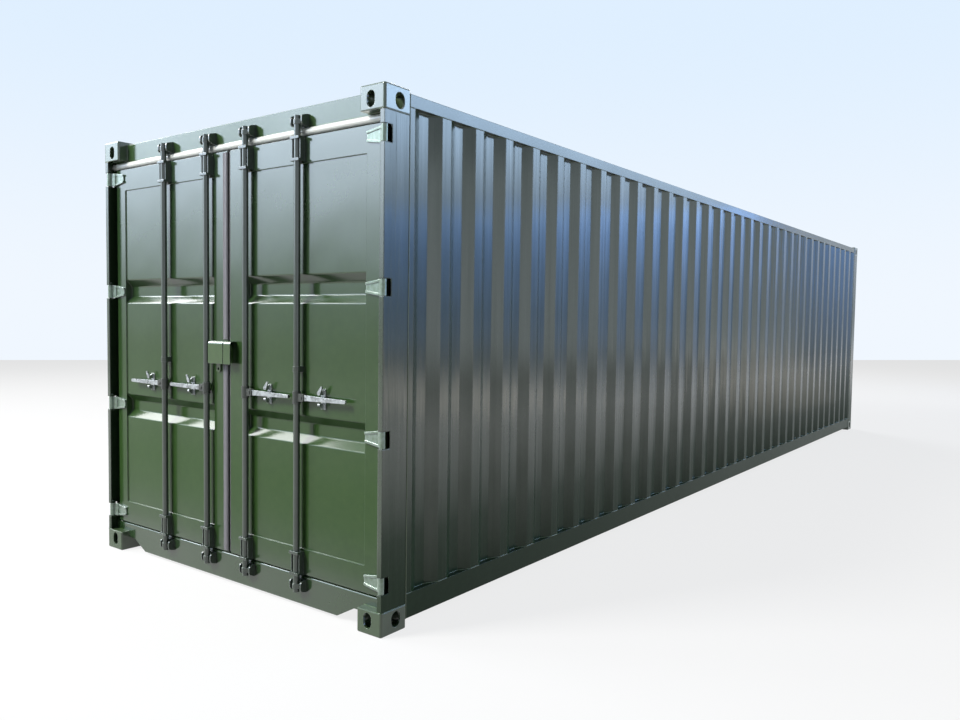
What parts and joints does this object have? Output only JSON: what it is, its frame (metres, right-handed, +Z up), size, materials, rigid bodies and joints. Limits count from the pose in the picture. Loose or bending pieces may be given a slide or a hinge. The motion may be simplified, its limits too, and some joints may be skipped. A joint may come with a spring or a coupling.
{
  "type": "shipping container",
  "caption": "Corrugated steel shipping container with hollow corner castings, a plywood floor and two hinged end doors held shut by turning locking bars with handles.",
  "frame": {"origin": "centre of the base, at the level of the undersides of the bottom corner castings", "axes": "+X to the right when the doors are faced from outside, +Y from the doors to the blind end, +Z up"},
  "size_m": [2.438, 9.754, 2.591],
  "materials": {
    "green_paint": "glossy dark green paint",
    "casting_paint": "glossy green paint on cast steel",
    "bar_paint": "glossy dark green paint on bars and forged cams",
    "underside_paint": "matt dark underseal",
    "hinge_steel": "glossy green paint, pale at the edges",
    "galvanised_steel": "bright galvanised",
    "floor_plywood": "varnished plywood",
    "seal_rubber": "matt black rubber"
  },
  "bodies": {
    "container": {"door_post_right": "green_paint", "door_post_left": "green_paint", "end_post_right": "green_paint", "end_post_left": "green_paint", "top_rail_right": "green_paint", "top_rail_left": "green_paint", "bottom_rail_right": "green_paint", "bottom_rail_left": "green_paint", "side_wall_right": "green_paint", "side_wall_left": "green_paint", "castings_door_bottom": "casting_paint", "castings_door_top": "casting_paint", "castings_end_bottom": "casting_paint", "castings_end_top": "casting_paint", "door_header": "green_paint", "door_sill": "green_paint", "end_top_rail": "green_paint", "end_bottom_rail": "green_paint", "end_wall": "green_paint", "roof_panel": "green_paint", "floor_deck": "floor_plywood", "cross_members": "underside_paint", "cam_keepers": "bar_paint"},
    "left_door": {"left_door_frame": "green_paint", "left_door_panel": "green_paint", "left_door_gasket": "seal_rubber", "left_door_hinges": "hinge_steel", "left_door_bar_guides": "bar_paint", "left_door_handle_catches": "galvanised_steel", "left_lock_box": "green_paint"},
    "left_inner_lock": {"left_inner_bar": "bar_paint", "left_inner_handle": "galvanised_steel"},
    "left_outer_lock": {"left_outer_bar": "bar_paint", "left_outer_handle": "galvanised_steel"},
    "right_door": {"right_door_frame": "green_paint", "right_door_panel": "green_paint", "right_door_gasket": "seal_rubber", "right_door_hinges": "hinge_steel", "right_door_bar_guides": "bar_paint", "right_door_handle_catches": "galvanised_steel", "right_lock_box": "green_paint"},
    "right_inner_lock": {"right_inner_bar": "bar_paint", "right_inner_handle": "galvanised_steel"},
    "right_outer_lock": {"right_outer_bar": "bar_paint", "right_outer_handle": "galvanised_steel"}
  },
  "joints": [
    {"name": "left_door_swing", "type": "hinge", "parent": "container", "child": "left_door", "pos_m": [-1.199, -4.857, 1.3], "axis": [0, 0, -1], "range_deg": [0, 260]},
    {"name": "left_inner_lock_turn", "type": "hinge", "parent": "left_door", "child": "left_inner_lock", "pos_m": [-0.176, -4.855, 1.3], "axis": [0, 0, -1], "range_deg": [-100, 0]},
    {"name": "left_outer_lock_turn", "type": "hinge", "parent": "left_door", "child": "left_outer_lock", "pos_m": [-0.595, -4.855, 1.3], "axis": [0, 0, -1], "range_deg": [-100, 0]},
    {"name": "right_door_swing", "type": "hinge", "parent": "container", "child": "right_door", "pos_m": [1.199, -4.857, 1.3], "axis": [0, 0, 1], "range_deg": [0, 260]},
    {"name": "right_inner_lock_turn", "type": "hinge", "parent": "right_door", "child": "right_inner_lock", "pos_m": [0.176, -4.855, 1.3], "axis": [0, 0, 1], "range_deg": [-100, 0]},
    {"name": "right_outer_lock_turn", "type": "hinge", "parent": "right_door", "child": "right_outer_lock", "pos_m": [0.595, -4.855, 1.3], "axis": [0, 0, 1], "range_deg": [-100, 0]}
  ]
}
